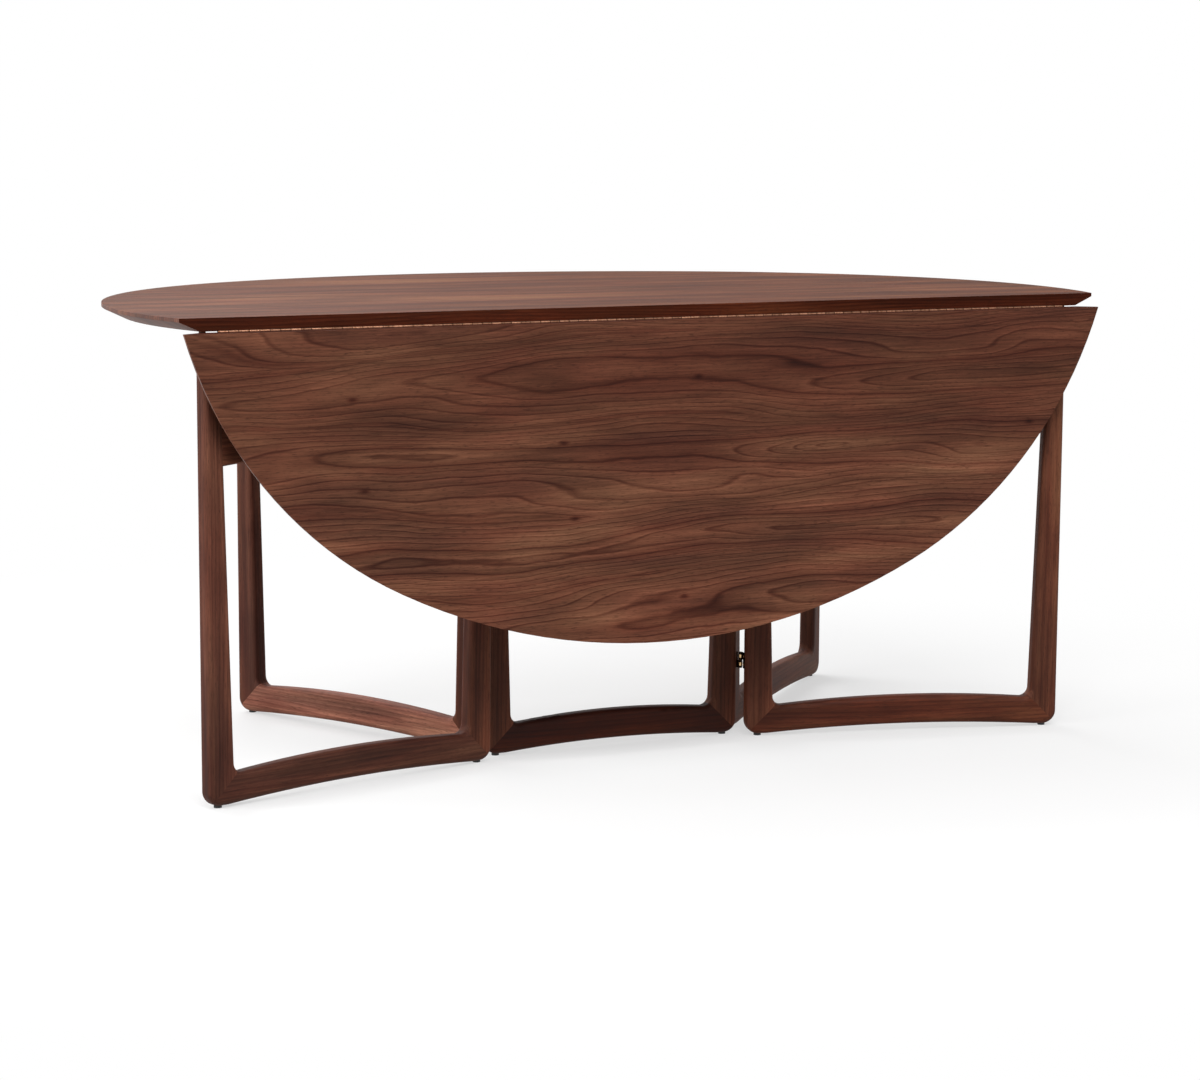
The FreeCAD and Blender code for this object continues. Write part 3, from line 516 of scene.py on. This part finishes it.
# How much paler or darker each board is: partly its own tone, partly painted light and shade. The
# rear left gate's low rail is paler by painted light and sheen, the front gates' hinge legs paler
# by painted light, and the centre frame's low rail darker by painted shade under the front leaf.
BOARD_TONES_AND_PAINTED_LIGHT = {
    "centre_frame_bottom_rail": 0.36,
    "front_left_gate_bottom_rail": 0.8,
    "front_left_gate_hinge_leg": 1.15,
    "front_right_gate_bottom_rail": 0.84,
    "front_right_gate_hinge_leg": 1.3,
    "front_right_gate_outer_leg": 1.12,
    "rear_left_gate_bottom_rail": 2.2,
    "rear_left_gate_outer_leg": 1.15,
}


def frame_piece(name, along):
    """A leg or rail, each from a board of its own, some paler and some darker, partly in their own
    tone and partly by painted light and shade.
    """
    finish_node(name, walnut("walnut_" + name, middle(name), along, LEG_TWIST,
                             contrast=FRAME_CONTRAST, cloud=FRAME_CLOUD,
                             shade=BOARD_TONES_AND_PAINTED_LIGHT.get(name, 1),
                             stain=BOARD_STAINS_AND_SHEEN.get(name, (1, 1, 1))))


for side in ("left", "right"):
    frame_piece("centre_frame_" + side + "_leg", UPRIGHT)
for height in ("top", "bottom"):
    frame_piece("centre_frame_" + height + "_rail", ALONG_TABLE)


# Gates. Four open frames of the same rounded walnut section swing out under the leaves.
# Each has a hinged leg, an outer leg, a low rail and an arched upper rail.

GATE_ANGLES = {
    "front_left_gate": 195.6,
    "rear_left_gate": 115.5,
    "front_right_gate": -14.3,
    "rear_right_gate": 44.6,
}

for gate, angle in GATE_ANGLES.items():
    outwards = (math.cos(math.radians(angle)), math.sin(math.radians(angle)), 0)
    for piece, along in (("hinge_leg", UPRIGHT), ("outer_leg", UPRIGHT),
                         ("bottom_rail", outwards), ("upper_rail", outwards)):
        frame_piece(gate + "_" + piece, along)


# Loose tenons. Slips of beech are glued into slots across each mitre and into the ends of the
# upper rails, and are hidden there.

BEECH = (196, 158, 116)
BEECH_FLECK = (160, 118, 80)
BEECH_FLECK_SCALE = 900
BEECH_PLACES = (0.4, 0.7)
BEECH_ROUGH = 0.6


def beech(name):
    material = new_material(name)
    tree = material.node_tree
    place = add(tree, "TexCoord", {}).outputs["Object"]
    fleck = add(tree, "TexNoise", {"Vector": place, "Scale": BEECH_FLECK_SCALE,
                                   "Detail": 2}).outputs[0]
    colour = ramp(tree, fleck, *zip(BEECH_PLACES, (tone(*BEECH), tone(*BEECH_FLECK))))
    skin = add(tree, "BsdfPrincipled", {"Base Color": colour, "Roughness": BEECH_ROUGH})
    to_output(tree, skin.outputs[0])
    return material


beech_slip = beech("beech_slip")
for frame_name in ("centre_frame", *GATE_ANGLES):
    finish_node(frame_name + "_tenons", beech_slip)


# Long hinges. A strip of brass knuckles runs along each side of the centre panel, with a
# flap screwed under the panel's edge and one let into the leaf's, on a steel pin.

BRASS = (188, 138, 112)
BRASS_DULL = (132, 90, 64)
BRASS_ROUGH = (0.3, 0.5)
STEEL = (176, 172, 166)
STEEL_DULL = (122, 118, 112)
STEEL_ROUGH = (0.2, 0.4)
METAL_PATCH = 0.004
METAL_PATCH_PLACES = (0.4, 0.7)
SCRATCH_STRETCH = 20
SCRATCH_SCALE = 2500
SCRATCH_RELIEF = 0.15
SCRATCH_DEPTH = 0.0001
LONG_HINGE_LENGTH = 1.44
LONG_KNUCKLES = 91
# How far painted shade reaches from each end of a long hinge's knuckle, and how dark it gets where
# two knuckles meet.
KNUCKLE_SHADE_SHARE = 0.07
KNUCKLE_END_SHADE = 0.05
KNUCKLE_TONES = (0.55, 1.1)
BARREL_EDGE = (0.0022, 0.0026)


def metal(name, clean, dull, roughness, pin=None):
    """A drawn metal, duller in soft patches. The knuckles of a long hinge, which lie close
    about its pin, differ in tone and have painted shade where they meet."""
    material = new_material(name)
    tree = material.node_tree
    place = add(tree, "TexCoord", {}).outputs["Object"]
    patch = add(tree, "TexNoise", {"Vector": place, "Scale": 1 / METAL_PATCH,
                                   "Detail": 4}).outputs[0]
    smooth, coarse = roughness
    rough = add(tree, "MapRange", {"Value": patch, "To Min": smooth, "To Max": coarse})
    scratch = add(tree, "TexNoise", {"Vector": stretched(tree, place, SCRATCH_STRETCH),
                                     "Scale": SCRATCH_SCALE}).outputs[0]
    bump = add(tree, "Bump", {"Height": scratch, "Strength": SCRATCH_RELIEF,
                              "Distance": SCRATCH_DEPTH})
    colour = ramp(tree, patch, *zip(METAL_PATCH_PLACES, (tone(*clean), tone(*dull))))
    if pin:
        away = add(tree, "VectorMath", {0: place, 1: (0, 1, 1), 2: (0, -pin.y, -pin.z)},
                   operation="MULTIPLY_ADD").outputs[0]
        away = add(tree, "VectorMath", {0: away}, operation="LENGTH").outputs["Value"]
        inner, outer = BARREL_EDGE
        barrel = add(tree, "MapRange", {"Value": away, "From Min": inner, "From Max": outer,
                                        "To Min": 1, "To Max": 0}).outputs["Result"]
        along = add(tree, "SeparateXYZ", {"Vector": place}).outputs["X"]
        count = add(tree, "Math", {0: along, 1: LONG_KNUCKLES / LONG_HINGE_LENGTH, 2: 0.5},
                    operation="MULTIPLY_ADD").outputs[0]
        whole = add(tree, "Math", {0: count}, operation="FLOOR").outputs[0]
        share = add(tree, "Math", {0: count}, operation="FRACT").outputs[0]
        own = add(tree, "TexWhiteNoise", {"W": whole}, noise_dimensions="1D").outputs[0]
        colour = tinted(tree, colour, ramp(tree, own, *enumerate(KNUCKLE_TONES)), share=barrel)
        # Painted shade in the gaps where the knuckles meet.
        joint_shade = ramp(tree, share, (0, KNUCKLE_END_SHADE), (KNUCKLE_SHADE_SHARE, 1),
                     (1 - KNUCKLE_SHADE_SHARE, 1), (1, KNUCKLE_END_SHADE))
        colour = tinted(tree, colour, joint_shade, share=barrel)
    skin = add(tree, "BsdfPrincipled", {"Base Color": colour, "Metallic": 1,
                                        "Roughness": rough.outputs["Result"],
                                        "Normal": bump.outputs[0]})
    to_output(tree, skin.outputs[0])
    return material


brass = metal("drawn_brass", BRASS, BRASS_DULL, BRASS_ROUGH)
steel = metal("pin_steel", STEEL, STEEL_DULL, STEEL_ROUGH)
for side in ("front", "rear"):
    long_brass = metal(side + "_hinge_brass", BRASS, BRASS_DULL, BRASS_ROUGH,
                       pin=middle(side + "_hinge_pin"))
    for piece in ("fixed_flap", "leaf_flap"):
        finish_node(side + "_hinge_" + piece, long_brass)
    for piece in ("fixed_screws", "leaf_screws"):
        finish_node(side + "_hinge_" + piece, brass)
    finish_node(side + "_hinge_pin", steel)


# Gate hinges. Each gate hangs on two small brass hinges of two swelled knuckles, screwed to
# the ends of the legs. The brass is dark, and painted near black as shade of the narrow gap
# between the legs, but for a painted glint on a band round each knuckle's swell.

# Dark brass with painted shade of the gap between the legs, and bright brass for a painted glint
# round each knuckle's middle.
DARK_BRASS_IN_SHADE = (46, 32, 22)
DARK_BRASS_IN_SHADE_DULL = (24, 18, 14)
DARK_BRASS_IN_SHADE_ROUGH = (0.45, 0.65)
GLINT_BRASS = (226, 196, 150)
GLINT_BRASS_DULL = (176, 136, 90)
GLINT_BRASS_ROUGH = (0.18, 0.3)
GATE_PIVOT = (0.229, 0.014)
CENTRE_LINE = sum(corner.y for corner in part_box("centre_frame_bottom_rail")) / 2
HINGE_HEIGHTS = (0.123, 0.600)
KNUCKLE_LENGTH = 0.013
KNUCKLE_RADIUS = 0.0035
KNUCKLE_END_RADIUS = 0.0027
KNUCKLE_GAP = 0.0003
KNUCKLE_SIDES = 32
KNUCKLE_HALF_STEPS = 5
KNUCKLE_SMOOTH_ANGLE = math.radians(35)
KNUCKLE_END_SLOPE = 0.5
# How far the painted glint reaches either side of a knuckle's middle.
GLINT_HALF = 0.0032
PLATE_X = 0.0028
PLATE_THICKNESS = 0.0012
PLATE_WIDTH = 0.0135
PLATE_START = 0.0039
PLATE_EASE = 0.0003


def plate(low, high):
    """A flat piece of the flap between two corners, with its edges eased."""
    bpy.ops.object.select_all(action="DESELECT")
    size = Vector(high) - Vector(low)
    bpy.ops.mesh.primitive_cube_add(size=1, location=(Vector(low) + Vector(high)) / 2)
    bpy.ops.transform.resize(value=size)
    bpy.ops.object.transform_apply(location=True, rotation=True, scale=True)
    bpy.ops.object.mode_set(mode="EDIT")
    bpy.ops.mesh.select_all(action="SELECT")
    bpy.ops.mesh.bevel(offset=PLATE_EASE, segments=2, affect="EDGES")
    bpy.ops.object.mode_set(mode="OBJECT")
    return bpy.context.object


def swelled_knuckle(low, high):
    """A knuckle round the pin, turned a little thinner towards both ends."""
    middle_z = (low + high) / 2
    half = (high - low) / 2
    bpy.ops.object.select_all(action="DESELECT")
    bpy.ops.mesh.primitive_cylinder_add(vertices=KNUCKLE_SIDES, radius=KNUCKLE_RADIUS,
                                        depth=2 * half, location=(0, 0, middle_z))
    knuckle = bpy.context.object
    bpy.ops.object.transform_apply(location=True, rotation=True, scale=True)
    bpy.ops.object.mode_set(mode="EDIT")
    for step in range(1, 2 * KNUCKLE_HALF_STEPS):
        bpy.ops.mesh.select_all(action="SELECT")
        bpy.ops.mesh.bisect(plane_co=(0, 0, low + step * half / KNUCKLE_HALF_STEPS),
                            plane_no=(0, 0, 1))
    bpy.ops.object.mode_set(mode="OBJECT")
    for vertex in knuckle.data.vertices:
        bulge = 1 - ((vertex.co.z - middle_z) / half) ** 2
        radius = KNUCKLE_END_RADIUS + (KNUCKLE_RADIUS - KNUCKLE_END_RADIUS) * bulge
        vertex.co.x *= radius / KNUCKLE_RADIUS
        vertex.co.y *= radius / KNUCKLE_RADIUS
    # A band round the middle of each knuckle's swell takes the bright brass: a painted glint.
    for face in knuckle.data.polygons:
        face.material_index = int(abs(face.center.z - middle_z) < GLINT_HALF
                                  and abs(face.normal.z) < KNUCKLE_END_SLOPE)
    return knuckle


def hinge_half(name, upwards):
    """One flap about its pin, on the end of a leg at +X, with the open side at +Y."""
    ends = sorted((upwards * KNUCKLE_GAP / 2, upwards * KNUCKLE_LENGTH))
    far_x = PLATE_X + PLATE_THICKNESS
    pieces = [
        swelled_knuckle(*ends),
        plate((PLATE_X, 0, ends[0]), (far_x, PLATE_WIDTH, ends[1])),
        plate((PLATE_X, PLATE_START, -KNUCKLE_LENGTH), (far_x, PLATE_WIDTH, KNUCKLE_LENGTH)),
    ]
    for piece in pieces:
        piece.data.materials.append(dark_brass_in_shade)
        piece.data.materials.append(glint_brass)
        piece.select_set(True)
    bpy.context.view_layer.objects.active = pieces[0]
    bpy.ops.object.join()
    bpy.ops.object.shade_smooth_by_angle(angle=KNUCKLE_SMOOTH_ANGLE)
    pieces[0].name = name
    return pieces[0]


def set_of_flaps(name, half, places):
    """Copies of one flap, turned or mirrored into their places, as one piece."""
    copies = []
    for x, y, z, angle, side in places:
        copy = half.copy()
        copy.data = half.data.copy()
        bpy.context.scene.collection.objects.link(copy)
        matrix = Matrix.Translation((x, y, z)) @ Matrix.Rotation(angle, 4, "Z")
        copy.data.transform(matrix @ Matrix.Diagonal((1, side, 1, 1)))
        if side < 0:
            copy.data.flip_normals()
        copies.append(copy)
    bpy.ops.object.select_all(action="DESELECT")
    for copy in copies:
        copy.select_set(True)
    bpy.context.view_layer.objects.active = copies[0]
    bpy.ops.object.join()
    copies[0].name = name
    return copies[0]


# Dark brass with painted shade, and bright brass for the painted glint on the knuckles.
dark_brass_in_shade = metal("dark_brass_painted_shade", DARK_BRASS_IN_SHADE, DARK_BRASS_IN_SHADE_DULL, DARK_BRASS_IN_SHADE_ROUGH)
glint_brass = metal("painted_glint_brass", GLINT_BRASS, GLINT_BRASS_DULL, GLINT_BRASS_ROUGH)
gate_half = hinge_half("gate_half", 1)
fixed_half = hinge_half("fixed_half", -1)
fixed_places = []
for gate, angle in GATE_ANGLES.items():
    end = -1 if "left" in gate else 1
    depth = -1 if "front" in gate else 1
    pin = (end * GATE_PIVOT[0], CENTRE_LINE + depth * GATE_PIVOT[1])
    gate_side = 1 if gate in ("front_left_gate", "rear_right_gate") else -1
    moving = [(*pin, z, math.radians(angle), gate_side) for z in HINGE_HEIGHTS]
    flaps = set_of_flaps(gate + "_swelled_flaps", gate_half, moving)
    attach(flaps, gate)
    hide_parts(gate + "_hinge_flaps")
    finish_node(gate + "_hinge_screws", brass)
    fixed_angle = math.pi if end > 0 else 0
    fixed_places += [(*pin, z, fixed_angle, depth * end) for z in HINGE_HEIGHTS]
fixed_flaps = set_of_flaps("gate_hinge_swelled_flaps", fixed_half, fixed_places)
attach(fixed_flaps, "centre")
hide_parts("gate_hinge_fixed_flaps")
for half in (gate_half, fixed_half):
    bpy.data.objects.remove(half)
finish_node("gate_hinge_fixed_screws", brass)
finish_node("gate_hinge_pins", steel)


# Screws. Steel screws stand in deep wells in the centre frame's top rail. They pull it up to
# the centre panel.

finish_node("centre_frame_screws", steel)


# Glides and rest pads. A black moulded disc is nailed under each foot, and a brown felt
# pad lies on the far end of each gate, where a leaf comes down on it.

GLIDE_BLACK = (20, 19, 19)
GLIDE_WORN = (48, 46, 45)
GLIDE_ROUGH = 0.5
GLIDE_GRAIN = 0.0008
FELT = (62, 46, 38)
FELT_FLUFF = (92, 72, 60)
FELT_ROUGH = 0.95
FELT_FIBRE = 0.0005
GRAIN_PLACES = (0.45, 0.75)
GRAIN_RELIEF = 0.3
GRAIN_DEPTH = 0.0002


def moulded(name, clean, worn, rough, grain_size):
    """A matt surface, moulded or felted, whose fine grain is paler where it stands up."""
    material = new_material(name)
    tree = material.node_tree
    place = add(tree, "TexCoord", {}).outputs["Object"]
    grain = add(tree, "TexNoise", {"Vector": place, "Scale": 1 / grain_size,
                                   "Detail": 3}).outputs[0]
    bump = add(tree, "Bump", {"Height": grain, "Strength": GRAIN_RELIEF,
                              "Distance": GRAIN_DEPTH})
    colour = ramp(tree, grain, *zip(GRAIN_PLACES, (tone(*clean), tone(*worn))))
    skin = add(tree, "BsdfPrincipled", {"Base Color": colour, "Roughness": rough,
                                        "Normal": bump.outputs[0]})
    to_output(tree, skin.outputs[0])
    return material


glide_black = moulded("glide_black", GLIDE_BLACK, GLIDE_WORN, GLIDE_ROUGH, GLIDE_GRAIN)
pad_felt = moulded("pad_felt", FELT, FELT_FLUFF, FELT_ROUGH, FELT_FIBRE)
for frame_name in ("centre_frame", *GATE_ANGLES):
    finish_node(frame_name + "_glides", glide_black)
for gate in GATE_ANGLES:
    finish_node(gate + "_rest_pad", pad_felt)
